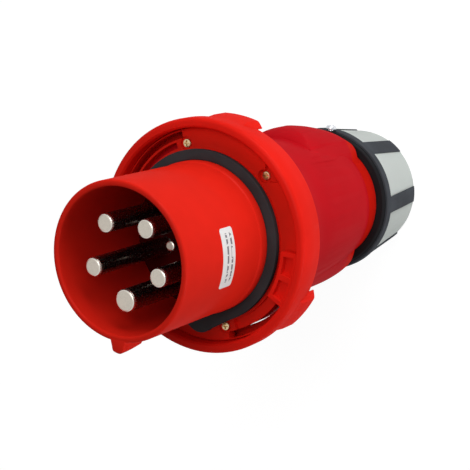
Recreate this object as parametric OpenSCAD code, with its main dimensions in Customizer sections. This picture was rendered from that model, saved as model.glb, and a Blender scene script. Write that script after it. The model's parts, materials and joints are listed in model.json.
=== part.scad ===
// Five pole pin and sleeve plug with a pilot contact, a bayonet locking ring and a cable gland.
// The plug stands on its gland nut. +Z runs along the axis to the mouth of the sleeve,
// and -Y is the side of the key and the earth pin. Depths are counted back from the mouth,
// and clock angles run clockwise from +Y as seen from the mouth.

/* [Plug] */
// Length from the rear of the gland nut to the mouth of the sleeve
plug_l = 271; // [262:1:300]
// Gap between moulded pieces that are screwed together
fit_gap = 0.1; // [0.05:0.05:0.2]
// Gap between a moving piece and its neighbours
run_gap = 0.4; // [0.3:0.05:0.6]

/* [Sleeve] */
// Outer diameter of the sleeve
sleeve_od = 83; // [80:0.5:85]
// Wall of the sleeve
sleeve_wall = 3.4; // [2.8:0.1:4]
// Length of the sleeve in front of the locking ring
sleeve_reach = 73.2; // [68:0.1:80]
// Depth of the mouth down to the contact carrier
mouth_depth = 70; // [64:0.5:76]
// Rounding of the rim of the mouth
lip_round = 1.3; // [0.5:0.1:1.6]
// Height of the bead at the root of the sleeve
bead_h = 0.7; // [0.3:0.1:1.2]
// Width of the bead that shows in front of the gasket
bead_w = 5; // [3:0.5:8]
// Width of the key under the mouth
key_w = 9; // [7:0.5:11]
// Height of the key above the sleeve
key_h = 6.4; // [5:0.1:7]
// Length of the key along the sleeve
key_l = 17; // [14:0.5:24]

/* [Flange] */
// Outer diameter of the flange inside the locking ring
flange_od = 118.8; // [117:0.2:121]
// Thickness of the flange
flange_t = 6; // [5.5:0.5:8]
// Depth of the flange face behind the front of the ring
flange_set = 6.8; // [6:0.2:9]
// Height of the ledge that carries the gasket
ledge_h = 2; // [1.5:0.1:2.5]
// Inner radius of the deep outer slots
outer_slot_r = 54.6; // [54:0.1:55.2]
// Width of the deep outer slots
outer_slot_w = 3.9; // [3:0.1:4.1]
// Inner radius of the deep inner slot
inner_slot_r = 50; // [49.6:0.1:50.4]
// Width of the deep inner slot
inner_slot_w = 3.4; // [2.6:0.1:3.6]
// Depth of the low floor beside the outer slot
floor_drop = 2.6; // [1:0.1:3]

/* [Gasket] */
// Outer diameter of the gasket
gasket_od = 96; // [94:0.5:96.6]
// Thickness of the gasket
gasket_t = 3.6; // [2.5:0.1:4]
// Radius of the bulge at the bottom of the gasket
bulge_r = 9.5; // [8:0.5:11]
// Reach of the bulge from the axis
bulge_reach = 54; // [52:0.5:54.5]
// Clock angle of the bulge
bulge_clock = 180; // [170:1:190]

/* [Locking ring] */
// Wall of the ring at the rim
ring_wall = 5.4; // [4.6:0.1:7]
// Length of the ring between its grip lobes
ring_l = 22.4; // [20:0.1:28]
// Length of the straight rim at the front
rim_l = 9; // [7:0.1:12]
// Wall of the ring at the rear edge
tail_wall = 3.4; // [2.6:0.1:5]
// Rounding of the front edge of the rim
rim_round = 2.4; // [1.5:0.1:2.6]
// Rounding of the rear edge of the ring
tail_round = 1.4; // [0.6:0.1:1.6]
// Number of grip lobes
lobe_n = 3; // [2:1:6]
// Angle that a grip lobe covers
lobe_span = 23; // [16:1:40]
// Length of a lobe behind the ring
lobe_l = 5.8; // [3:0.1:9]
// Height of a lobe above the straight rim
lobe_h = 0.4; // [0:0.1:2]
// Wall of a lobe behind the ring
lobe_wall = 3.4; // [2.6:0.1:4]
// Angle that a cam block covers
cam_span = 29.8; // [24:0.2:32]
// Inner radius of the cam blocks
cam_r = 50.9; // [50:0.1:52]
// Depth of the pockets in the cam blocks
cam_pocket = 3.4; // [2:0.1:4]
// Wall round the pockets
cam_wall = 1.9; // [1.4:0.1:2.2]
// Radial width of the lips behind the flange
lip_w = 3.1; // [2.4:0.1:3.2]
// Thickness of the lips behind the flange
lip_t = 3.4; // [2.5:0.1:4]

/* [Contacts] */
// Diameter of the circle of contact pins
pin_circle_d = 42.6; // [42:0.1:43.2]
// Diameter of the phase and neutral pins
phase_d = 10; // [9.5:0.1:10.5]
// Diameter of the earth pin
earth_d = 12; // [11.5:0.1:12.5]
// Diameter of the pilot pin
pilot_d = 6; // [5:0.1:6.5]
// Depth of the pin tips behind the mouth
tip_set = 6; // [4:0.5:9]
// Depth of the pilot tip behind the mouth
pilot_set = 45.4; // [40:0.2:52]
// Length of the terminal barrels behind the carrier plate
barrel_l = 21; // [18:0.5:26]
// Wall of the terminal barrels
barrel_wall = 2.4; // [2:0.1:2.8]
// Step of a pin where it enters the carrier
root_step = 0.3; // [0.2:0.05:0.5]
// Diameter of the terminal screws
term_screw_d = 6; // [5:0.5:6.5]

/* [Carrier] */
// Width of the shoulder that the carrier rests on
seat_w = 1.8; // [1.2:0.1:2.2]
// Length of the spigot behind the flange
spigot_l = 8; // [6:0.5:10]
// Wall of the spigot
spigot_wall = 5.6; // [5:0.1:6]
// Thickness of the carrier plate
plate_t = 3; // [2.5:0.1:4]
// Number of carrier screws
carrier_screw_n = 4; // [3:1:5]
// Diameter of the carrier screws
carrier_screw_d = 3; // [2.5:0.1:3.2]

/* [Handle] */
// Outer diameter of the front of the handle, round the flange screws
handle_od = 109; // [107:0.2:111]
// Length of the straight front of the handle
handle_front_l = 14; // [13:0.5:18]
// Radius where the front of the handle has narrowed to the grip
waist_r = 47.4; // [46:0.1:49]
// Distance from the flange to that waist
waist_l = 53; // [46:1:60]
// Wall of the handle
handle_wall = 3.8; // [3:0.1:4.5]
// Radius at the rear shoulder
handle_end_r = 40.8; // [40:0.1:43]
// Radius of the neck in the gland collar
neck_r = 38; // [37.6:0.1:38.5]
// Distance from the rear shoulder to the gland nut
neck_l = 15.5; // [14:0.5:20]
// Outer radius of the two spines
spine_r = 51.2; // [49:0.1:54]
// Radius of the spines at their rear end
spine_end_r = 44.6; // [44:0.1:47]
// Radius of a spine's rounded back
spine_back_r = 27; // [22:0.5:34]
// Distance from the flange to the foot of the spines
spine_set = 70; // [56:1:84]
// Length of the rounded slope at the front of the spines
spine_rise = 15; // [10:0.5:22]

/* [Screws] */
// Clock angles of the four flange screws
flange_screw_clocks = [-15, 45, 165, 225];
// Radius of the circle of flange screws
screw_circle_r = 51.4; // [51:0.1:51.6]
// Diameter of a flange screw head
flange_head_d = 6.4; // [5.5:0.1:6.8]
// Diameter of a flange screw
flange_screw_d = 3.5; // [3:0.1:4]
// Depth of the flange screws below the flange
flange_screw_l = 12; // [10:0.5:16]
// Diameter of the lock screw
lock_screw_d = 3; // [2.5:0.1:3.5]
// Diameter of the lock screw's head
lock_head_d = 6.6; // [6:0.1:7]
// Clock angle of the lock screw
lock_clock = 6.5; // [0:0.5:16]

/* [Gland] */
// Length of the gland nut
nut_l = 54.2; // [50:0.1:58]
// Radius of the nut at its front
nut_front_r = 44.4; // [44:0.1:46]
// Radius of the nut at its rear edge
nut_rear_r = 38.3; // [38:0.1:40]
// Radius of the opening at the rear of the nut
nut_mouth_r = 26.6; // [25.6:0.1:28]
// Thickness of the rear wall of the nut
nut_end_t = 4.6; // [3.5:0.1:6]
// Number of grip ribs on the nut
rib_n = 7; // [5:1:8]
// Width of a grip rib
rib_w = 10; // [7:0.5:12]
// Height of the ribs above the nut
rib_h = 0.8; // [0.4:0.1:1.2]
// Depth of the soft grip in the nut
rib_sink = 1.6; // [1:0.1:2]
// Width of the soft ring at the front of the nut
grip_ring_w = 4.4; // [3:0.1:6]
// Outer radius of the gland collar
collar_r = 43.4; // [42.8:0.1:44]
// Thickness of the gland collar
collar_t = 2.4; // [1.8:0.1:4]
// Outer radius of the threaded tail of the handle
tail_r = 36; // [35:0.1:36.5]
// Length of the threaded tail in the nut
tail_l = 30; // [28:0.5:31]
// Bore of the tail
tail_bore_r = 30; // [29:0.1:31]
// Radius of the cable bore in the grommet
cable_r = 17.5; // [14:0.5:19]
// Length of the grommet inside the tail
grommet_l = 15; // [12:0.5:18]
// Number of fingers of the clamp cage
finger_n = 12; // [8:1:16]
// Length of the fingers
finger_l = 13; // [11:0.5:14]

/* [Hidden] */
$fn = 96;
eps = 0.01;
// A length past every outline, for cuts that go right through
past = 80;

// Sleeve and flange
sleeve_r = sleeve_od / 2;
bore_r = sleeve_r - sleeve_wall;
bead_r = sleeve_r + bead_h;
flange_r = flange_od / 2;
flange_d = sleeve_reach + flange_set;
flange_back_d = flange_d + flange_t;
ledge_d = flange_d - ledge_h;
gasket_d = ledge_d - gasket_t;
gasket_r = gasket_od / 2;
flank_set = 0.3;
spigot_end_d = flange_back_d + spigot_l;
seat_r = bore_r + seat_w;
spigot_r = seat_r + spigot_wall;
head_seat = 1.4;
head_gap = 0.5;
pocket_r = flange_head_d / 2 + head_gap;
deep_pocket = 3;
slot_wide = 50.4;
slot_clock = 318.5;
slot_step = 5.7;
floor_clock = 139;
floor_span = 37;
floor_r = gasket_r + 1;

// Contacts: clock angles, and the steps of their rear ends
pin_r = pin_circle_d / 2;
pole_step = 72;
earth_clock = 180;
barrel_shoulder = 1;
pin_flange_t = 4;
hole_past = 1.8;
pin_edge = 1.1;
plate_d = spigot_end_d + plate_t;
barrel_end_d = plate_d + barrel_l;
cable_hole_d = plate_d + hole_past;
pilot_wall = 1.6;
term_screw_depths = [plate_d + barrel_l * 0.34, plate_d + barrel_l * 0.76];
screw_proud = 1;

// Locking ring
ring_bore_r = flange_r + run_gap;
ring_r = ring_bore_r + ring_wall;
ring_end_d = sleeve_reach + ring_l;
rim_end_d = sleeve_reach + rim_l;
ring_tail_r = ring_bore_r + tail_wall;
lobe_clock = 8;
lobe_end_d = ring_end_d + lobe_l;
lobe_round = 1.2;
cam_clocks = [106.6, 279];
cam_set = 1;
lip_clocks = [31, 211, 255];
lip_span = 36;

// Handle
handle_front_r = handle_od / 2;
waist_d = flange_back_d + waist_l;
throat_d = plate_d + 6;
boss_l = 3;
nut_d = plug_l - nut_l;
collar_back_d = nut_d - run_gap;
collar_d = collar_back_d - collar_t;
shoulder_d = nut_d - neck_l;
tail_end_d = nut_d + tail_l;
grommet_d = tail_end_d - grommet_l;
spine_d = flange_back_d + spine_set;
spine_end_d = shoulder_d + neck_l / 2;
spine_foot_r = neck_r - handle_wall;
spine_run = spine_end_d - spine_d - spine_rise;
stop_r = tail_bore_r - 5;
stop_t = 4;
seal_r = 1.1;
seal_ring_r = spigot_r + fit_gap + 2;

// Gland
nut_end_d = plug_l;
nut_slope = (nut_front_r - nut_rear_r) / nut_l;
nut_edge = 3.2;
rib_d = nut_d + grip_ring_w - 1.4;
rib_clock = 38;
thrust_end_d = nut_end_d - nut_end_t - fit_gap;
thread_gap = 0.3;
nut_bore_r = tail_r + thread_gap;
cage_flange_t = 2;
cage_wall = 4.6;
cage_r = tail_bore_r - 3.4;
finger_tip_wall = 2;
finger_end_d = tail_end_d + cage_flange_t + finger_l;
boss_lock_r = lock_screw_d / 2 + 1.5;
lock_d = collar_back_d - boss_lock_r;
lock_boss_top = collar_r + 1.4;
lock_head_h = 2.3;
lock_proud = 1.3;

// Height of the plane that lies at depth d behind the mouth
function level(d) = plug_l - d;
// Point at radius r and clock angle a
function clock(r, a) = [r * sin(a), r * cos(a)];
// Points of an arc round centre c, n steps from angle a to angle b
function arc(c, r, a, b, n = 4) = [for (i = [0:n]) c + r * [cos(a + (b - a) * i / n), sin(a + (b - a) * i / n)]];
// Outer radius of the nut at depth d
function nut_surface(d) = nut_front_r - nut_slope * (d - nut_d);

module turned(points) rotate_extrude() polygon(points);

// Upright plate of any flat outline between two depths
module slab(front, back) translate([0, 0, level(back)]) linear_extrude(back - front) children();

// Flat sector of a ring, at most 60 degrees wide
module ring_sector(r_in, r_out, middle, span) {
    reach = r_out * 1.3;
    intersection() {
        difference() {
            circle(r_out);
            circle(r_in);
        }
        polygon([[0, 0], clock(reach, middle - span / 2), clock(reach, middle), clock(reach, middle + span / 2)]);
    }
}

module at_clock(r, a) translate(concat(clock(r, a), 0)) children();

// Cylinder along the axis between two depths
module drum(r, front, back) translate([0, 0, level(back)]) cylinder(r = r, h = back - front);

// Cylinder that points outwards from the axis
module spoke(r, from, to, depth, a) translate([0, 0, level(depth)]) rotate([0, 0, -a])
    rotate([-90, 0, 0]) translate([0, 0, from]) cylinder(r = r, h = to - from);

// Flat outline of the gasket, grown by g: a disc and its bulge, joined by flanks that cut just inside both
module gasket_outline(g = 0) {
    big = gasket_r + g;
    small = bulge_r + g;
    centre = bulge_reach - bulge_r;
    lean = acos((big - small) / centre);
    circle(big);
    translate(clock(centre, bulge_clock)) circle(small);
    polygon([
        clock(big - flank_set, bulge_clock - lean), clock(big - flank_set, bulge_clock + lean),
        clock(centre, bulge_clock) + clock(small - flank_set, bulge_clock + lean),
        clock(centre, bulge_clock) + clock(small - flank_set, bulge_clock - lean)
    ]);
}

// Key under the mouth: a rounded nose that slopes down into the sleeve
module sleeve_key() {
    nose = key_w / 2 - 1;
    root = sleeve_r - 1;
    intersection() {
        slab(0, key_l) union() {
            translate([0, -(sleeve_r + key_h - nose)]) circle(nose);
            polygon([
                [-nose, -(sleeve_r + key_h - nose)], [nose, -(sleeve_r + key_h - nose)],
                [key_w / 2, -root], [-key_w / 2, -root]
            ]);
        }
        turned([
            [root - 1, level(key_l)], [sleeve_r + key_h * 0.35, level(key_l)],
            [sleeve_r + key_h * 0.62, level(key_l - 1.5)], [sleeve_r + key_h, level(1.2)],
            [sleeve_r + key_h - 1.2, level(0)], [root - 1, level(0)]
        ]);
    }
}

module screw_pocket(a, depth) at_clock(screw_circle_r, a) drum(pocket_r, flange_d - ledge_h - eps, flange_d + depth);

module sleeve_body() turned(concat(
    arc([bore_r + lip_round, level(lip_round)], lip_round, 180, 90),
    arc([sleeve_r - lip_round, level(lip_round)], lip_round, 90, 0),
    [
        [sleeve_r, level(gasket_d - bead_w) + bead_h], [bead_r, level(gasket_d - bead_w)],
        [bead_r, level(flange_d)], [flange_r - 0.6, level(flange_d)], [flange_r, level(flange_d + 0.6)],
        [flange_r, level(flange_back_d)], [spigot_r, level(flange_back_d)], [spigot_r, level(spigot_end_d)],
        [seat_r, level(spigot_end_d)], [seat_r, level(mouth_depth)], [bore_r, level(mouth_depth)]
    ]
));

module sleeve_housing() {
    slot_out = outer_slot_r + outer_slot_w;
    color([0.86, 0.09, 0.07]) difference() {
        union() {
            sleeve_body();
            slab(ledge_d, flange_d + eps) difference() {
                gasket_outline(-0.4);
                circle(bead_r - 0.5);
            }
            sleeve_key();
        }
        // Deep slots at the upper left, and the low floor with its slot at the lower right
        slab(flange_d - 1, flange_back_d + 1) {
            ring_sector(outer_slot_r, slot_out, slot_clock, slot_wide);
            ring_sector(inner_slot_r, inner_slot_r + inner_slot_w, slot_clock - slot_step / 2, slot_wide - slot_step);
            ring_sector(outer_slot_r, slot_out, slot_clock - 180, slot_wide);
        }
        slab(flange_d - ledge_h - 1, flange_d + floor_drop) ring_sector(floor_r, flange_r + 1, floor_clock, floor_span);
        // Pockets and holes of the flange screws
        for (a = flange_screw_clocks) {
            screw_pocket(a, head_seat);
            at_clock(screw_circle_r, a) drum(flange_screw_d / 2 + head_gap / 2, flange_d, flange_back_d + 1);
        }
        screw_pocket(flange_screw_clocks[1], deep_pocket);
        slab(flange_d - 1, flange_d + deep_pocket) intersection() {
            circle(flange_r + 1);
            polygon([
                clock(screw_circle_r, flange_screw_clocks[1]), clock(flange_r, flange_screw_clocks[1] - 6),
                clock(flange_r + 4, flange_screw_clocks[1] + 3), clock(flange_r + 2, flange_screw_clocks[1] + 11),
                clock(screw_circle_r + 0.6, flange_screw_clocks[1] + 5)
            ]);
        }
        carrier_screw_set(carrier_screw_d / 2 + eps);
    }
}

module flange_gasket() color([0.13, 0.13, 0.14]) slab(gasket_d, ledge_d) difference() {
    gasket_outline();
    circle(bead_r + fit_gap);
}

module flange_screws() color([0.80, 0.62, 0.30]) for (i = [0:3]) {
    seat = flange_d + (i == 1 ? deep_pocket : head_seat);
    at_clock(screw_circle_r, flange_screw_clocks[i]) union() {
        drum(flange_head_d / 2, seat - head_seat, seat);
        drum(flange_screw_d / 2, seat - eps, flange_back_d + flange_screw_l);
    }
}

// Countersunk screws that hold the carrier plate on the end of the spigot
module carrier_screw_set(r) for (i = [0:carrier_screw_n - 1])
    at_clock((seat_r + spigot_r) / 2, 45 + 360 * i / carrier_screw_n) drum(r, flange_back_d + 1, plate_d);

module carrier_countersinks(g) for (i = [0:carrier_screw_n - 1])
    at_clock((seat_r + spigot_r) / 2, 45 + 360 * i / carrier_screw_n) translate([0, 0, level(plate_d)])
        cylinder(r1 = carrier_screw_d - 0.3 + g, r2 = carrier_screw_d / 2 + g, h = 1.6);

module carrier_screws() color([0.75, 0.76, 0.78]) union() {
    carrier_screw_set(carrier_screw_d / 2);
    carrier_countersinks(0);
}

// Radius of the terminal barrel behind a pin of radius r
function barrel_r(r) = r + 0.3 + barrel_wall;
function pin_flange_r(r) = barrel_r(r) + barrel_shoulder;
function phase_clock(i) = earth_clock + pole_step * i;

module contact_carrier() color([0.55, 0.05, 0.05]) difference() {
    drum(seat_r - fit_gap, mouth_depth, spigot_end_d);
    for (i = [1:4]) at_clock(pin_r, phase_clock(i)) pin_cavity(phase_d / 2);
    at_clock(pin_r, earth_clock) pin_cavity(earth_d / 2);
    pin_cavity(pilot_d / 2, pilot_wall);
}

module pin_cavity(r, wall = barrel_wall) {
    drum(r + root_step + fit_gap, mouth_depth - 1, spigot_end_d + 1);
    drum(r + 0.3 + wall + barrel_shoulder + fit_gap, spigot_end_d - pin_flange_t, spigot_end_d + 1);
}

module carrier_plate() color([0.20, 0.20, 0.21]) difference() {
    drum(spigot_r - fit_gap, spigot_end_d, plate_d);
    for (i = [1:4]) at_clock(pin_r, phase_clock(i)) drum(barrel_r(phase_d / 2) + fit_gap, spigot_end_d - 1, plate_d + 1);
    at_clock(pin_r, earth_clock) drum(barrel_r(earth_d / 2) + fit_gap, spigot_end_d - 1, plate_d + 1);
    drum(pilot_d / 2 + 0.3 + pilot_wall + fit_gap, spigot_end_d - 1, plate_d + 1);
    carrier_screw_set(carrier_screw_d / 2 + eps);
    carrier_countersinks(eps);
}

// Contact pin with its flange and terminal barrel, on its own axis
module contact(r, tip, wall = barrel_wall, end = barrel_end_d) difference() {
    turned([
        [0, level(tip)], [r - pin_edge, level(tip)], [r - pin_edge * 0.35, level(tip + pin_edge * 0.3)],
        [r, level(tip + pin_edge)], [r, level(mouth_depth)], [r + root_step, level(mouth_depth)],
        [r + root_step, level(spigot_end_d - pin_flange_t)],
        [r + 0.3 + wall + barrel_shoulder, level(spigot_end_d - pin_flange_t)],
        [r + 0.3 + wall + barrel_shoulder, level(spigot_end_d)], [r + 0.3 + wall, level(spigot_end_d)],
        [r + 0.3 + wall, level(end)], [0, level(end)]
    ]);
    drum(r + 0.3, cable_hole_d, end + 1);
}

module main_contact(d, a) at_clock(pin_r, a) difference() {
    contact(d / 2, tip_set);
    for (depth = term_screw_depths) spoke(term_screw_d / 2 + eps, 0, past, depth, a);
}

module phase_pin_l1() color([0.80, 0.79, 0.76]) main_contact(phase_d, phase_clock(2));
module phase_pin_l2() color([0.80, 0.79, 0.76]) main_contact(phase_d, phase_clock(3));
module phase_pin_l3() color([0.80, 0.79, 0.76]) main_contact(phase_d, phase_clock(4));
module neutral_pin() color([0.80, 0.79, 0.76]) main_contact(phase_d, phase_clock(1));
module earth_pin() color([0.80, 0.79, 0.76]) main_contact(earth_d, earth_clock);

module pilot_pin() color([0.80, 0.79, 0.76]) difference() {
    contact(pilot_d / 2, pilot_set, pilot_wall);
    spoke(term_screw_d / 3 + eps, 0, past, term_screw_depths[0], 0);
}

module terminal_screws() color([0.70, 0.71, 0.72]) for (i = [0:4], depth = term_screw_depths) {
    r = i == 0 ? earth_d / 2 : phase_d / 2;
    at_clock(pin_r, phase_clock(i)) spoke(term_screw_d / 2, r - 1.5, barrel_r(r) + screw_proud, depth, phase_clock(i));
}

module pilot_screw() color([0.70, 0.71, 0.72])
    spoke(term_screw_d / 3, pilot_d / 2 - 1, pilot_d / 2 + 0.3 + pilot_wall + screw_proud, term_screw_depths[0], 0);

// Round cord in a groove of the handle's front face
module body_seal() color([0.10, 0.10, 0.10]) translate([0, 0, level(flange_back_d + seal_r)])
    rotate_extrude() translate([seal_ring_r, 0]) circle(seal_r, $fn = 32);

// Section of the ring's wall: a rounded rim, a straight stretch and a slight taper to the rear edge
module ring_band() turned(concat(
    arc([ring_r - rim_round, level(sleeve_reach + rim_round)], rim_round, 90, 0, 5),
    [[ring_r, level(rim_end_d)]],
    arc([ring_tail_r - tail_round, level(ring_end_d - tail_round)], tail_round, 0, -90),
    [
        [ring_bore_r + 0.8, level(ring_end_d)], [ring_bore_r, level(ring_end_d - 0.8)],
        [ring_bore_r, level(sleeve_reach + 1.4)], [ring_bore_r + 1, level(sleeve_reach)]
    ]
));

// Grip lobe: a pad that rises behind the rim and runs on past the rear edge
module ring_lobe(a) intersection() {
    turned(concat(
        [[ring_r - lobe_wall + lobe_h, level(rim_end_d + 1)], [ring_r - 0.8, level(rim_end_d + 1)],
         [ring_r + lobe_h, level(rim_end_d + 7)]],
        arc([ring_r + lobe_h - lobe_round, level(lobe_end_d - lobe_round)], lobe_round, 0, -90),
        [[ring_r - lobe_wall + lobe_h, level(lobe_end_d)]]
    ));
    slab(rim_end_d, lobe_end_d + 1) polygon([
        clock(ring_bore_r - 4, a - lobe_span / 2 - 1), clock(ring_r - 2.5, a - lobe_span / 2 - 1),
        clock(ring_r + 2, a - lobe_span / 2 + 4), clock(ring_r + 9, a), clock(ring_r + 2, a + lobe_span / 2 - 4),
        clock(ring_r - 2.5, a + lobe_span / 2 + 1), clock(ring_bore_r - 4, a + lobe_span / 2 + 1)
    ]);
}

// Cam block inside the rim, with two open pockets
module ring_cam(a) difference() {
    slab(sleeve_reach + cam_set, flange_d - run_gap) ring_sector(cam_r, ring_bore_r + 1, a, cam_span);
    slab(sleeve_reach, sleeve_reach + cam_set + cam_pocket) for (side = [-1, 1])
        ring_sector(cam_r + cam_wall, ring_bore_r - cam_wall / 2, a + side * cam_span * 0.235, cam_span * 0.36);
}

module locking_ring() color([0.90, 0.10, 0.07]) {
    ring_band();
    for (i = [0:lobe_n - 1]) ring_lobe(lobe_clock + 360 * i / lobe_n);
    for (a = cam_clocks) ring_cam(a);
    for (a = lip_clocks) slab(flange_back_d + run_gap, flange_back_d + run_gap + lip_t)
        ring_sector(ring_bore_r - lip_w, ring_bore_r + 1, a, lip_span);
}

// The handle is wide round the flange screws, narrows in a hollow curve to the waist, then tapers to the shoulder
module handle_body() turned(concat(
    [
        [0, level(flange_back_d)], [handle_front_r - 0.6, level(flange_back_d)],
        [handle_front_r, level(flange_back_d + 0.6)], [handle_front_r, level(flange_back_d + handle_front_l)]
    ],
    [for (t = [0.15:0.15:1]) [
        handle_front_r + (waist_r - handle_front_r) * (1 - pow(1 - t, 1.7)),
        level(flange_back_d + handle_front_l + (waist_l - handle_front_l) * t)
    ]],
    [
        [waist_r, level(waist_d)], [handle_end_r + 0.4, level(shoulder_d - 6)],
        [handle_end_r - 0.3, level(shoulder_d - 2)], [handle_end_r - 1.4, level(shoulder_d)],
        [neck_r, level(shoulder_d + 2.4)], [neck_r, level(collar_back_d)], [tail_r, level(collar_back_d)],
        [tail_r, level(tail_end_d - 1)], [tail_r - 1, level(tail_end_d)], [0, level(tail_end_d)]
    ]
));

module handle_hollow() turned([
    [0, level(flange_back_d - 1)], [spigot_r + fit_gap, level(flange_back_d - 1)],
    [spigot_r + fit_gap, level(plate_d + fit_gap)], [waist_r - handle_wall + 1, level(throat_d)],
    [waist_r - handle_wall, level(waist_d)], [handle_end_r - handle_wall - 2, level(shoulder_d - 6)],
    [tail_bore_r, level(collar_d)], [tail_bore_r, level(grommet_d - stop_t - 2)], [stop_r, level(grommet_d - stop_t)],
    [stop_r, level(grommet_d)], [tail_bore_r, level(grommet_d)], [tail_bore_r, level(tail_end_d + 1)],
    [0, level(tail_end_d + 1)]
]);

// The two spines swell from the grip above and below, with rounded backs that run out into the round body
module handle_spines() intersection() {
    turned(concat(
        [[spine_foot_r, level(spine_d)]],
        [for (t = [0:0.2:1]) [
            waist_r - 3.6 + (spine_r - waist_r + 3.6) * sin(90 * t), level(spine_d + spine_rise * t * (0.4 + 0.6 * t))
        ]],
        [for (t = [0.2:0.2:0.8]) [
            spine_r - (spine_r - spine_end_r) * pow(t, 1.7), level(spine_d + spine_rise + spine_run * t)
        ]],
        [[spine_end_r, level(spine_end_d - 1.6)], [spine_end_r - 1.6, level(spine_end_d)], [spine_foot_r, level(spine_end_d)]]
    ));
    for (side = [-1, 1]) translate([0, side * (spine_r - spine_back_r), level(spine_end_d + 1)])
        cylinder(r = spine_back_r, h = spine_end_d - spine_d + 2);
}

// Screw bosses inside the narrowing part of the handle
module handle_bosses() intersection() {
    for (a = flange_screw_clocks) at_clock(screw_circle_r, a)
        drum(flange_screw_d / 2 + 2.6, flange_back_d + 1, flange_back_d + flange_screw_l + boss_l);
    drum(handle_front_r - 0.2, flange_back_d, flange_back_d + flange_screw_l + boss_l + 1);
}

module handle_shell() color([0.72, 0.04, 0.10]) difference() {
    union() {
        handle_body();
        handle_spines();
        handle_bosses();
    }
    handle_hollow();
    for (a = flange_screw_clocks) at_clock(screw_circle_r, a)
        drum(flange_screw_d / 2 + eps, flange_back_d - 1, flange_back_d + flange_screw_l);
    slab(flange_back_d - 1, flange_back_d + 2 * seal_r) difference() {
        circle(seal_ring_r + seal_r);
        circle(seal_ring_r - seal_r);
    }
    spoke(lock_screw_d / 2 + eps, neck_r - 3, past, lock_d, lock_clock);
}

module gland_collar() color([0.11, 0.10, 0.11]) difference() {
    union() {
        turned([
            [neck_r + fit_gap, level(collar_d)], [collar_r - 1.2, level(collar_d)], [collar_r, level(collar_d + 1)],
            [collar_r, level(collar_back_d)], [neck_r + fit_gap, level(collar_back_d)]
        ]);
        spoke(boss_lock_r, neck_r + fit_gap, lock_boss_top, lock_d, lock_clock);
    }
    drum(neck_r + fit_gap, shoulder_d, nut_d);
    spoke(lock_screw_d / 2 + eps, neck_r - 3, past, lock_d, lock_clock);
}

module lock_screw() color([0.78, 0.80, 0.83]) union() {
    spoke(lock_screw_d / 2, neck_r - 3, lock_boss_top + lock_proud + eps, lock_d, lock_clock);
    spoke(lock_head_d / 2, lock_boss_top + lock_proud, lock_boss_top + lock_proud + lock_head_h, lock_d, lock_clock);
}

module cable_grommet() color([0.10, 0.10, 0.11]) turned([
    [cable_r, level(grommet_d)], [tail_bore_r - fit_gap, level(grommet_d)], [tail_bore_r - fit_gap, level(tail_end_d)],
    [cage_r - fit_gap, level(tail_end_d)], [cage_r - fit_gap, level(finger_end_d - 3)],
    [cage_r - 3, level(finger_end_d)], [cable_r, level(finger_end_d)]
]);

module clamp_cage() color([0.83, 0.84, 0.82]) difference() {
    turned([
        [cage_r, level(tail_end_d)], [tail_r - 1, level(tail_end_d)], [tail_r - 1, level(tail_end_d + cage_flange_t)],
        [cage_r + cage_wall, level(tail_end_d + cage_flange_t)], [cage_r + finger_tip_wall, level(finger_end_d)],
        [cage_r, level(finger_end_d)]
    ]);
    for (i = [0:finger_n - 1]) rotate([0, 0, 360 * (i + 0.5) / finger_n])
        translate([cage_r - 2, -0.8, level(finger_end_d + 1)]) cube([tail_r, 1.6, finger_l]);
}

module thrust_ring() color([0.24, 0.24, 0.26]) turned([
    [cage_r + cage_wall + run_gap, level(tail_end_d + cage_flange_t + run_gap)],
    [nut_bore_r - run_gap, level(tail_end_d + cage_flange_t + run_gap)], [nut_bore_r - run_gap, level(thrust_end_d)],
    [cage_r + finger_tip_wall + run_gap, level(thrust_end_d)], [cage_r + finger_tip_wall + run_gap, level(finger_end_d)]
]);

// Soft ribs, sunk into the nut and standing a little proud, that grow out of the soft ring at its front
module grip_ribs() for (i = [0:rib_n - 1]) intersection() {
    turned([
        [nut_surface(rib_d) - rib_sink / 2, level(rib_d)], [nut_surface(rib_d) + rib_h, level(rib_d)],
        [nut_surface(nut_end_d - nut_edge) + rib_h, level(nut_end_d - nut_edge)],
        [nut_surface(nut_end_d - 1) - 0.6, level(nut_end_d - 1.2)],
        [nut_surface(nut_end_d - nut_edge) - rib_sink, level(nut_end_d - 1.2)]
    ]);
    rotate([0, 0, -rib_clock - 360 * i / rib_n]) translate([-rib_w / 2, 0, -1]) cube([rib_w, past, nut_l + 2]);
}

module nut_grip() color([0.28, 0.29, 0.31]) {
    turned([
        [nut_front_r - rib_sink, level(nut_d)], [nut_front_r + rib_h - 0.8, level(nut_d)],
        [nut_front_r + rib_h, level(nut_d + 1)], [nut_front_r + rib_h, level(nut_d + grip_ring_w - 0.6)],
        [nut_front_r + rib_h - 0.6, level(nut_d + grip_ring_w)], [nut_front_r - rib_sink, level(nut_d + grip_ring_w)]
    ]);
    grip_ribs();
}

module gland_nut() color([0.80, 0.81, 0.80]) difference() {
    turned(concat(
        [
            [nut_bore_r + 0.8, level(nut_d)], [nut_front_r - rib_sink, level(nut_d)],
            [nut_front_r - rib_sink, level(nut_d + grip_ring_w)],
            [nut_surface(nut_d + grip_ring_w), level(nut_d + grip_ring_w)]
        ],
        arc([nut_surface(nut_end_d - nut_edge) - nut_edge, nut_edge], nut_edge, 0, -90),
        [
            [nut_mouth_r + 1, 0], [nut_mouth_r, 1], [nut_mouth_r, nut_end_t], [nut_bore_r, nut_end_t],
            [nut_bore_r, level(nut_d + 0.8)]
        ]
    ));
    grip_ribs();
}

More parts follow.
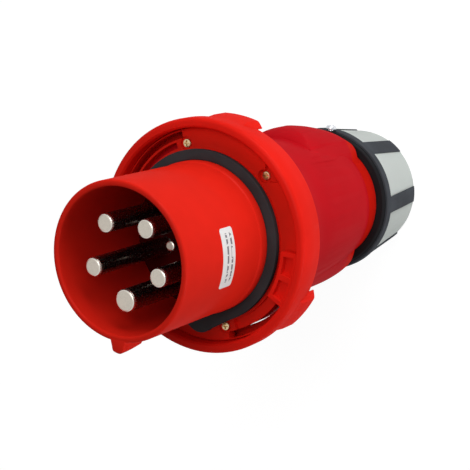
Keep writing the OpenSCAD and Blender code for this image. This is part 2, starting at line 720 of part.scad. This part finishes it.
sleeve_housing();
flange_gasket();
flange_screws();
contact_carrier();
carrier_plate();
carrier_screws();
phase_pin_l1();
phase_pin_l2();
phase_pin_l3();
neutral_pin();
earth_pin();
pilot_pin();
terminal_screws();
pilot_screw();
body_seal();
locking_ring();
handle_shell();
gland_collar();
lock_screw();
cable_grommet();
clamp_cage();
thrust_ring();
gland_nut();
nut_grip();
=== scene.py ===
"""Looks of an industrial pin and sleeve plug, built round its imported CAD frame.

Metres, in the row frame: the plug stands on its gland nut, +Z runs to the mouth of the sleeve and -Y is the key's side.
Depths are counted back from the mouth, and clock angles run clockwise from +Y as seen from the mouth.
"""

import json
import math

import bmesh
import bpy
from mathutils import Matrix, Vector


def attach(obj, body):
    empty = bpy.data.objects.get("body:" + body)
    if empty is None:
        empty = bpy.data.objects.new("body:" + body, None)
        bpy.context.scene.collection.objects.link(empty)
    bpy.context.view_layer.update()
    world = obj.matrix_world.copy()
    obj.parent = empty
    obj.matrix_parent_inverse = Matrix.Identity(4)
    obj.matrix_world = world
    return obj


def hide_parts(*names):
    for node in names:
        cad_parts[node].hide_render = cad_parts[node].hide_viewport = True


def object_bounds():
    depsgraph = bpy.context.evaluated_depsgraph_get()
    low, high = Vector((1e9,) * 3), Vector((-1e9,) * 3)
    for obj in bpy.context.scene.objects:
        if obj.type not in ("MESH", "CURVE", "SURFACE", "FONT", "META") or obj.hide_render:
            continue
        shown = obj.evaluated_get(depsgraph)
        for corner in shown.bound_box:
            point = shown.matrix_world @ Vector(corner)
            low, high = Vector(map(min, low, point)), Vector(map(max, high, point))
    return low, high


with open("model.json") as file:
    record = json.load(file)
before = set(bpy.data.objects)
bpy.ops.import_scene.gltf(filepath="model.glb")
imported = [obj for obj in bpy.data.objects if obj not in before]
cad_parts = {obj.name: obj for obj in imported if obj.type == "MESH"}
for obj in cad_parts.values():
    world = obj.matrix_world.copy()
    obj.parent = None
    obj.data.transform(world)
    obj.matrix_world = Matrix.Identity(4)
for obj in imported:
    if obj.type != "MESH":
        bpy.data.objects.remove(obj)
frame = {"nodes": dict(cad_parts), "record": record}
cad_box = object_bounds()

MM = 0.001
PLUG_LENGTH = max(corner[2] for corner in cad_box)

# Radii and depths behind the mouth, in mm, of the same features as in the part's source
SLEEVE_R = 41.5
SCREW_CIRCLE_R = 51.4
TIP_DEPTH = 6.0
PILOT_DEPTH = 45.4
NECK_DEPTH = 202.0


def level(depth):
    """Height in metres of the plane that lies depth mm behind the mouth."""
    return PLUG_LENGTH - depth * MM


def clock_point(radius, angle, depth):
    """Point in metres at a radius in mm, a clock angle in degrees and a depth in mm."""
    a = math.radians(angle)
    return Vector((radius * math.sin(a) * MM, radius * math.cos(a) * MM, level(depth)))


# ---------------------------------------------------------------- materials


class Shader:
    """A Principled material and short calls that add nodes to it."""

    def __init__(self, name, **sockets):
        self.material = bpy.data.materials.new(name)
        self.material.use_nodes = True
        self.tree = self.material.node_tree
        self.bsdf = self.tree.nodes["Principled BSDF"]
        for socket, value in sockets.items():
            self.bsdf.inputs[socket.replace("_", " ")].default_value = value
        self.place = self.node("ShaderNodeTexCoord").outputs["Object"]

    def node(self, kind, **values):
        made = self.tree.nodes.new(kind)
        for key, value in values.items():
            if hasattr(made, key):
                setattr(made, key, value)
            else:
                self.feed(made.inputs[key.replace("_", " ")], value)
        return made

    def feed(self, socket, value):
        if isinstance(value, bpy.types.NodeSocket):
            self.tree.links.new(value, socket)
        else:
            socket.default_value = value

    def noise(self, scale, detail=2.0, place=None):
        made = self.node("ShaderNodeTexNoise", Scale=scale, Detail=detail)
        self.feed(made.inputs["Vector"], place or self.place)
        return made.outputs["Fac"]

    def stretched(self, place, x, y, z):
        made = self.node("ShaderNodeMapping", Scale=(x, y, z))
        self.feed(made.inputs["Vector"], place)
        return made.outputs["Vector"]

    def ramp(self, factor, low, high):
        """Blend of two colours, or of two plain values, over the middle of a noise's range."""
        made = self.node("ShaderNodeValToRGB")
        for element, position, value in zip(made.color_ramp.elements, (0.3, 0.7), (low, high)):
            element.position = position
            element.color = grey(value) if isinstance(value, float) else (*value, 1)
        self.feed(made.inputs["Fac"], factor)
        return made.outputs["Color"]

    def height(self, depth, blend):
        """1 on the mouth's side of the plane depth mm behind the mouth, 0 behind it, over blend mm."""
        parts = self.node("ShaderNodeSeparateXYZ")
        self.feed(parts.inputs[0], self.place)
        made = self.node("ShaderNodeMapRange")
        self.feed(made.inputs["Value"], parts.outputs["Z"])
        made.inputs["From Min"].default_value = level(depth) - blend * MM / 2
        made.inputs["From Max"].default_value = level(depth) + blend * MM / 2
        return made.outputs["Result"]

    def mottled(self, factor, colour, dark, bright):
        """Colour that wavers between two shares of itself."""
        return self.ramp(factor, shade(colour, dark), shade(colour, bright))

    def mixed(self, factor, behind, front):
        made = self.node("ShaderNodeMix", data_type="RGBA")
        self.feed(made.inputs["Factor"], factor)
        self.feed(made.inputs[6], behind)
        self.feed(made.inputs[7], front)
        return made.outputs[2]

    def math(self, operation, a, b):
        made = self.node("ShaderNodeMath", operation=operation)
        self.feed(made.inputs[0], a)
        self.feed(made.inputs[1], b)
        return made.outputs[0]

    def bump(self, height, distance, strength):
        made = self.node("ShaderNodeBump", Strength=strength, Distance=distance)
        self.feed(made.inputs["Height"], height)
        self.feed(self.bsdf.inputs["Normal"], made.outputs["Normal"])


def grey(value):
    return (value, value, value, 1)


def shade(colour, factor):
    return tuple(min(1.0, c * factor) for c in colour)


def moulded(name, colour, rough=0.35, spread=0.06, grain=0.00002, gloss=0.07, neck=None):
    """Injection moulded plastic: faint flow marks in colour and gloss, and a fine eroded grain.

    neck gives a depth in mm and the colour behind it.
    """
    s = Shader(name, Specular_IOR_Level=0.0, Coat_Weight=gloss, Coat_Roughness=0.28)
    flow = s.noise(35, 3)
    paint = s.mottled(flow, colour, 1 - spread, 1 + spread)
    if neck:
        depth, behind = neck
        paint = s.mixed(s.height(depth, 0.5), s.mottled(flow, behind, 1 - spread, 1 + spread), paint)
    s.feed(s.bsdf.inputs["Base Color"], paint)
    s.feed(s.bsdf.inputs["Roughness"], s.ramp(s.noise(120, 4), rough * 0.9, rough * 1.15))
    s.bump(s.noise(2600, 2), grain, 0.5)
    return s.material


def metal(name, colour, rough, depth=0.00001, face=None):
    """Plated metal with fine tool marks and slightly uneven gloss.

    face gives a depth in mm, the duller colour in front of it, for the sawn end of a pin, and a darker colour that
    starts behind the pin's rounded tip: painted shade, which stands for the dim mouth's shadow on the same plate.
    """
    s = Shader(name, Metallic=1.0)
    paint = s.mottled(s.noise(260, 3), colour, 0.93, 1.03)
    gloss = s.ramp(s.noise(700, 3), rough * 0.8, rough * 1.3)
    if face:
        plane, dull, shaded_body = face
        tip_length, tip_blend = 2.2, 1.5
        tip = s.height(plane + tip_length, tip_blend)
        # Behind the tip the pin's body takes the darker colour: painted shade of the sleeve's mouth, not a different
        # metal.
        paint = s.mixed(tip, s.mottled(s.noise(260, 3), shaded_body, 0.9, 1.05), paint)
        end = s.height(plane, 0.1)
        paint = s.mixed(end, paint, s.mottled(s.noise(1500, 3), dull, 0.9, 1.05))
        gloss = s.mixed(end, gloss, s.ramp(s.noise(1500, 3), 0.42, 0.55))
    s.feed(s.bsdf.inputs["Base Color"], paint)
    s.feed(s.bsdf.inputs["Roughness"], gloss)
    s.bump(s.noise(1, 2, s.stretched(s.place, 900, 900, 900)), depth, 0.4)
    return s.material


def nickel(name, tip_depth):
    """Nickel plate of a contact pin whose end lies tip_depth mm behind the mouth."""
    # The darker body colour is painted shade: the same nickel, dimmed where it stands deep in the sleeve's mouth.
    end_colour, shaded_body_colour = (0.66, 0.61, 0.53), (0.30, 0.28, 0.26)
    return metal(name, (0.82, 0.78, 0.71), 0.24, depth=0.000003, face=(tip_depth + 0.15, end_colour, shaded_body_colour))


def soft(name, colour, rough=0.6, grain=0.00004, gloss=0.12):
    """Rubber or soft grip: matt, with a coarser grain than the hard plastic."""
    s = Shader(name, Specular_IOR_Level=0.0, Coat_Weight=gloss, Coat_Roughness=0.5)
    s.feed(s.bsdf.inputs["Base Color"], s.mottled(s.noise(60, 4), colour, 0.85, 1.15))
    s.feed(s.bsdf.inputs["Roughness"], s.ramp(s.noise(300, 3), rough * 0.9, rough * 1.1))
    s.bump(s.noise(3200, 3), grain, 0.6)
    return s.material


def sticker(name):
    """White film with faint grey bars in place of print, laid out by the sticker's own UVs."""
    s = Shader(name, Roughness=0.32, Specular_IOR_Level=0.4)
    spot = s.node("ShaderNodeTexCoord").outputs["UV"]
    parts = s.node("ShaderNodeSeparateXYZ")
    s.feed(parts.inputs[0], spot)
    along, across = parts.outputs["X"], parts.outputs["Y"]

    def between(value, low, high):
        return s.math("MULTIPLY", s.math("GREATER_THAN", value, low), s.math("LESS_THAN", value, high))

    rows = s.math("GREATER_THAN", s.math("SINE", s.math("MULTIPLY", across, 6 * math.pi), 0.0), 0.35)
    words = s.math("GREATER_THAN", s.noise(1.0, 0.0, s.stretched(spot, 26.0, 3.0, 1.0)), 0.42)
    lines = s.math("MULTIPLY", rows, between(across, 0.16, 0.84))
    ink = s.math("MULTIPLY", lines, s.math("MULTIPLY", between(along, 0.09, 0.9), words))
    film = s.ramp(s.noise(200, 2), (0.80, 0.80, 0.79), (0.86, 0.86, 0.85))
    s.feed(s.bsdf.inputs["Base Color"], s.mixed(ink, film, (0.16, 0.16, 0.18, 1)))
    s.bump(s.noise(900, 2), 0.00001, 0.3)
    return s.material


SLEEVE_RED = moulded("sleeve_red", (0.76, 0.018, 0.009), 0.42)
RING_RED = moulded("ring_red", (0.82, 0.016, 0.009), 0.40)
HANDLE_RED = moulded("handle_crimson", (0.55, 0.006, 0.012), 0.34, neck=(NECK_DEPTH, (0.60, 0.010, 0.005)))
CARRIER_RED = moulded("carrier_red", (0.065, 0.002, 0.002), 0.5)
CARRIER_BLACK = moulded("carrier_black", (0.012, 0.010, 0.010), 0.5)
GASKET = soft("gasket_rubber", (0.040, 0.041, 0.044), 0.62)
COLLAR_BLACK = moulded("collar_black", (0.018, 0.018, 0.020), 0.38)
PANEL_GREY = moulded("panel_grey", (0.60, 0.645, 0.62), 0.42, 0.02)
GRIP_GREY = soft("grip_grey", (0.062, 0.068, 0.078), 0.55)
NICKEL = nickel("contact_nickel", TIP_DEPTH)
PILOT_NICKEL = nickel("pilot_nickel", PILOT_DEPTH)
YELLOW_ZINC = metal("yellow_passivated", (0.80, 0.62, 0.36), 0.28)
BRIGHT_ZINC = metal("bright_zinc", (0.74, 0.76, 0.80), 0.22)
FILM = sticker("sticker_film")

FINISH = {
    "sleeve_housing": SLEEVE_RED, "flange_gasket": GASKET, "flange_screws": YELLOW_ZINC,
    "contact_carrier": CARRIER_RED, "carrier_plate": CARRIER_BLACK, "carrier_screws": BRIGHT_ZINC,
    "phase_pin_l1": NICKEL, "phase_pin_l2": NICKEL, "phase_pin_l3": NICKEL, "neutral_pin": NICKEL,
    "earth_pin": NICKEL, "pilot_pin": PILOT_NICKEL, "terminal_screws": BRIGHT_ZINC, "pilot_screw": BRIGHT_ZINC,
    "body_seal": GASKET, "locking_ring": RING_RED, "handle_shell": HANDLE_RED, "gland_collar": COLLAR_BLACK,
    "lock_screw": BRIGHT_ZINC, "cable_grommet": GASKET, "clamp_cage": PANEL_GREY, "thrust_ring": CARRIER_BLACK,
    "gland_nut": PANEL_GREY, "nut_grip": GRIP_GREY,
}


# ---------------------------------------------------------------- pieces


def dress(obj, material):
    obj.data.materials.clear()
    obj.data.materials.append(material)


def body_name(node):
    return next(b for b, nodes in frame["record"]["behaviour"]["bodies"].items() if node in nodes)


def stands_for(obj, node):
    """Make obj the visible piece of a CAD node."""
    dress(obj, FINISH[node])
    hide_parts(node)
    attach(obj, body_name(node))


def added(name, data):
    obj = bpy.data.objects.new(name, data)
    bpy.context.scene.collection.objects.link(obj)
    return obj


def built(bm, name):
    """New object from bm, which is freed."""
    mesh = bpy.data.meshes.new(name)
    bm.to_mesh(mesh)
    bm.free()
    return added(name, mesh)


def applied(obj):
    """Bake obj's modifiers into its mesh."""
    obj.data = bpy.data.meshes.new_from_object(obj.evaluated_get(bpy.context.evaluated_depsgraph_get()))
    obj.modifiers.clear()


def smooth(obj, angle):
    """Shade obj smooth, with sharp edges where its faces meet at more than angle degrees."""
    obj.data.shade_smooth()
    obj.data.set_sharp_from_angle(angle=math.radians(angle))


def draw_in(bm, start, end, most, least_radius):
    """Pull the walls outside least_radius towards the axis between two depths, by up to most mm halfway."""
    for v in bm.verts:
        share = ((PLUG_LENGTH - v.co.z) / MM - start) / (end - start)
        radius = math.hypot(v.co.x, v.co.y) / MM
        if 0 < share < 1 and radius > least_radius:
            v.co.xy *= 1 - most * math.sin(math.pi * share) / radius


def softened(node, width):
    """Copy of a CAD node whose edges are rounded over by width mm, standing for the node."""
    bm = bmesh.new()
    bm.from_mesh(frame["nodes"][node].data)
    bmesh.ops.remove_doubles(bm, verts=bm.verts, dist=2e-6)
    bmesh.ops.dissolve_limit(bm, angle_limit=math.radians(0.4), verts=bm.verts, edges=bm.edges)
    if node in HOLLOWS:
        draw_in(bm, *HOLLOWS[node])
    obj = built(bm, node + "_finish")
    bevel = obj.modifiers.new("edges", "BEVEL")
    bevel.width = width * MM
    bevel.segments = 3
    bevel.limit_method = "ANGLE"
    bevel.angle_limit = math.radians(30)
    bevel.use_clamp_overlap = True
    bevel.harden_normals = False
    applied(obj)
    smooth(obj, 32)
    stands_for(obj, node)


def turned(bm, profile, place, segments=40):
    """Add a lathed solid of (radius, height) points in mm, from the axis at its bottom to the axis at its top."""
    rows = []
    for radius, height in profile:
        count = 1 if radius == 0 else segments
        angles = [2 * math.pi * i / segments for i in range(count)]
        rows.append([bm.verts.new(place @ (Vector((radius * math.cos(a), radius * math.sin(a), height)) * MM))
                     for a in angles])
    for low, high in zip(rows, rows[1:]):
        for i in range(segments):
            j = (i + 1) % segments
            corners = [low[i % len(low)], low[j % len(low)], high[j % len(high)], high[i % len(high)]]
            bm.faces.new(list(dict.fromkeys(corners)))


def cross_arm(places, recess, head_top, turn):
    """Tapered blades, one at each place, that cut one arm of the cross recesses."""
    half, arm, depth = recess
    bm = bmesh.new()
    for place in places:
        spin = place @ Matrix.Rotation(math.radians(turn), 4, "Z")
        ends = []
        for height, shrink in ((head_top + 0.4, 1.0), (head_top - depth, 0.5)):
            a, b = half * shrink * MM, arm * shrink * MM
            ends.append([bm.verts.new(spin @ Vector((x, y, height * MM)))
                         for x, y in ((-a, -b), (a, -b), (a, b), (-a, b))])
        upper, lower = ends
        bm.faces.new(upper)
        bm.faces.new(lower[::-1])
        for i in range(4):
            j = (i + 1) % 4
            bm.faces.new((upper[j], upper[i], lower[i], lower[j]))
    return built(bm, "blade")


def screw_set(node, places, profile, recess):
    """Screws that stand for a node; each place turns +Z to the head's outside.

    recess gives the half width, half length and depth in mm of the cross in the head.
    """
    head_top = profile[-1][1]
    bm = bmesh.new()
    for place in places:
        turned(bm, profile, place)
    obj = built(bm, node + "_detail")
    for turn in (0, 90):
        blade = cross_arm(places, recess, head_top, turn)
        cut = obj.modifiers.new("recess", "BOOLEAN")
        cut.operation = "DIFFERENCE"
        cut.solver = "EXACT"
        cut.object = blade
        applied(obj)
        bpy.data.objects.remove(blade)
    smooth(obj, 35)
    stands_for(obj, node)


def facing(point, out):
    """Placement at point whose +Z runs along out."""
    return Matrix.Translation(point) @ out.to_track_quat("Z", "Y").to_matrix().to_4x4()


for node, obj in frame["nodes"].items():
    dress(obj, FINISH[node])

# Depths, most and least radius in mm of the stretch behind the ring, where the grip is drawn in
HOLLOWS = {"handle_shell": (101, 153, 2.6, 44)}
EDGES = {
    "sleeve_housing": 0.35, "locking_ring": 0.45, "handle_shell": 0.7, "flange_gasket": 0.4,
    "gland_collar": 0.4, "gland_nut": 0.35, "nut_grip": 0.3,
}
for node, width in EDGES.items():
    softened(node, width)


# Flange screws: a low pan head on a plain shank, seated at a depth given for each clock angle
FLANGE_SCREWS = {-15: 81.4, 45: 83.0, 165: 81.4, 225: 81.4}
screw_set(
    "flange_screws",
    [facing(clock_point(SCREW_CIRCLE_R, angle, seat), Vector((0, 0, 1)))
     @ Matrix.Rotation(math.radians(angle + 20), 4, "Z")
     for angle, seat in FLANGE_SCREWS.items()],
    [(0, -15.8), (1.75, -15.8), (1.75, 0), (2.5, 0), (2.6, 0.2), (2.55, 0.6), (2.2, 1.0), (1.5, 1.15), (0, 1.2)],
    (0.55, 1.9, 1.1),
)


def threaded(start, end, outer, pitch, depth):
    """Profile points of a threaded shank, as ridges one pitch apart."""
    points = []
    for i in range(int((end - start) / pitch)):
        base = start + i * pitch
        points += [(outer - depth, base), (outer, base + pitch * 0.5)]
    return points + [(outer - depth, end)]


# Lock screw: a pan head on a threaded shank that stands out of the gland collar, its head at a radius of LOCK_HEAD
LOCK_CLOCK, LOCK_DEPTH, LOCK_HEAD = 6.5, 213.4, 46.1
lock_out = Vector((math.sin(math.radians(LOCK_CLOCK)), math.cos(math.radians(LOCK_CLOCK)), 0))
screw_set(
    "lock_screw",
    [facing(clock_point(0, 0, LOCK_DEPTH), lock_out) @ Matrix.Rotation(math.radians(35), 4, "Z")],
    [(0, 35)] + threaded(35, LOCK_HEAD, 1.5, 0.7, 0.28)
    + [(3.0, LOCK_HEAD), (3.3, LOCK_HEAD + 0.3), (3.25, LOCK_HEAD + 1.0), (2.7, LOCK_HEAD + 1.8),
       (1.6, LOCK_HEAD + 2.2), (0, LOCK_HEAD + 2.3)],
    (0.45, 1.9, 1.3),
)


def ring_lip(name, inner, outer, front, back, columns=144):
    """Inward lip at the rear edge of the locking ring, which closes the view through the flange's slots."""
    bm = bmesh.new()
    edge = 0.5
    section = [(outer, back - edge), (outer, front), (inner + edge, front), (inner, front + edge),
               (inner, back - edge), (inner + edge, back), (outer - edge, back)]
    rows = [[bm.verts.new(clock_point(radius, 360 * i / columns, depth)) for radius, depth in section]
            for i in range(columns)]
    for i, row in enumerate(rows):
        beside = rows[(i + 1) % columns]
        for j in range(len(section)):
            k = (j + 1) % len(section)
            bm.faces.new((row[j], row[k], beside[k], beside[j]))
    bmesh.ops.recalc_face_normals(bm, faces=bm.faces)
    obj = built(bm, name)
    smooth(obj, 32)
    dress(obj, RING_RED)
    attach(obj, "ring")


ring_lip("ring_rear_lip", 55.0, 60.4, 93.4, 95.5)


def sleeve_sticker(from_clock, to_clock, from_depth, to_depth, radius, corner, columns=48, rows=6):
    """Film with rounded corners that wraps part of the sleeve."""
    arc = math.radians(to_clock - from_clock) * radius
    middle, half = (from_depth + to_depth) / 2, (to_depth - from_depth) / 2
    bm = bmesh.new()
    uv = bm.loops.layers.uv.new("film")
    grid, spots = [], {}
    for i in range(columns + 1):
        # The columns lie closer near the ends, where the corners curve
        along = 0.5 - 0.5 * math.cos(math.pi * i / columns)
        inset = corner - min(corner, along * arc, (1 - along) * arc)
        reach = half - corner + math.sqrt(max(corner**2 - inset**2, 0.0))
        column = []
        for j in range(rows + 1):
            depth = middle + reach * (2 * j / rows - 1)
            v = bm.verts.new(clock_point(radius + 0.06, from_clock + along * (to_clock - from_clock), depth))
            spots[v] = (along, (depth - from_depth) / (2 * half))
            column.append(v)
        grid.append(column)
    for a, b in zip(grid, grid[1:]):
        for j in range(rows):
            face = bm.faces.new((a[j], a[j + 1], b[j + 1], b[j]))
            for loop in face.loops:
                loop[uv].uv = spots[loop.vert]
    bmesh.ops.recalc_face_normals(bm, faces=bm.faces)
    obj = built(bm, "sleeve_sticker")
    film = obj.modifiers.new("film", "SOLIDIFY")
    film.thickness = 0.1 * MM
    film.offset = 0
    applied(obj)
    smooth(obj, 35)
    dress(obj, FILM)
    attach(obj, "plug_body")


sleeve_sticker(67.6, 111.6, 33.0, 44.3, SLEEVE_R, 1.6)


# ---------------------------------------------------------------- stage, light and camera


def stage_floor():
    """Pale floor a hair under the plug, white to the camera and in reflections."""
    mesh = bpy.data.meshes.new("floor")
    reach, low = 6.0, -0.0003
    mesh.from_pydata([(-reach, -reach, low), (reach, -reach, low), (reach, reach, low), (-reach, reach, low)],
                     [], [(0, 1, 2, 3)])
    floor = added("floor", mesh)
    s = Shader("floor_white", Roughness=0.9, Specular_IOR_Level=0.1)
    s.bsdf.inputs["Base Color"].default_value = grey(0.80)
    path = s.node("ShaderNodeLightPath")
    seen = s.math("MAXIMUM", path.outputs["Is Camera Ray"], path.outputs["Is Glossy Ray"])
    seen = s.math("MAXIMUM", seen, path.outputs["Is Transmission Ray"])
    glow = s.node("ShaderNodeEmission", Strength=0.93)
    faint = s.node("ShaderNodeBsdfDiffuse")
    faint.inputs["Color"].default_value = grey(0.2)
    white = s.node("ShaderNodeAddShader")
    s.feed(white.inputs[0], glow.outputs[0])
    s.feed(white.inputs[1], faint.outputs[0])
    mix = s.node("ShaderNodeMixShader")
    s.feed(mix.inputs[0], seen)
    s.feed(mix.inputs[1], s.bsdf.outputs[0])
    s.feed(mix.inputs[2], white.outputs[0])
    s.feed(s.tree.nodes["Material Output"].inputs["Surface"], mix.outputs[0])
    floor.data.materials.append(s.material)


def sky(diffuse, glossy):
    """World that lights plain surfaces and metal at two strengths and is white to the camera."""
    world = bpy.data.worlds.new("studio")
    bpy.context.scene.world = world
    world.use_nodes = True
    tree = world.node_tree

    def glow(strength, made=None):
        made = made or tree.nodes.new("ShaderNodeBackground")
        made.inputs["Color"].default_value = grey(1.0)
        made.inputs["Strength"].default_value = strength
        return made.outputs[0]

    def either(factor, no, yes):
        made = tree.nodes.new("ShaderNodeMixShader")
        for socket, value in zip(made.inputs, (factor, no, yes)):
            tree.links.new(value, socket)
        return made.outputs[0]

    path = tree.nodes.new("ShaderNodeLightPath")
    light = either(path.outputs["Is Glossy Ray"], glow(diffuse, tree.nodes["Background"]), glow(glossy))
    surface = either(path.outputs["Is Camera Ray"], light, glow(1.0))
    tree.links.new(surface, tree.nodes["World Output"].inputs["Surface"])


# The photograph's viewpoint, and the focal length in pixels of its frame
FOCAL_PX, FRAME_PX, SENSOR = 1300, 470, 36
VIEW_PLACE = Vector((0.3822, 0.1480, 0.7748))
VIEW_FORWARD = Vector((-0.51691, -0.20704, -0.83063)).normalized()
VIEW_RIGHT = Vector((0.84713, 0.01591, -0.53114))
VIEW_RIGHT = (VIEW_RIGHT - VIEW_FORWARD * VIEW_RIGHT.dot(VIEW_FORWARD)).normalized()
VIEW_UP = VIEW_RIGHT.cross(VIEW_FORWARD)
CENTRE = Vector((0, 0, 0.16))


def lamp(name, right, up, back, size, power):
    """Soft panel placed by the camera's own directions from the middle of the plug, facing it."""
    data = bpy.data.lights.new(name, "AREA")
    data.shape = "SQUARE"
    data.size = size
    data.energy = power
    obj = added(name, data)
    place = CENTRE + VIEW_RIGHT * right + VIEW_UP * up - VIEW_FORWARD * back
    obj.matrix_world = facing(place, place - CENTRE)


def camera():
    data = bpy.data.cameras.new("view")
    data.sensor_width = SENSOR
    data.lens = FOCAL_PX / FRAME_PX * SENSOR
    data.clip_start = 0.01
    obj = added("view", data)
    turn = Matrix((VIEW_RIGHT, VIEW_UP, -VIEW_FORWARD)).transposed()
    obj.matrix_world = Matrix.Translation(VIEW_PLACE) @ turn.to_4x4()
    bpy.context.scene.camera = obj


stage_floor()
sky(0.17, 0.75)
lamp("key_light", 0.3, 0.9, 0.55, 0.7, 7.0)
lamp("front_light", -0.3, 0.2, 1.2, 0.6, 4.6)
lamp("side_light", 0.85, -0.55, 0.3, 0.6, 6.2)
camera()
bpy.context.scene.view_settings.view_transform = "Standard"
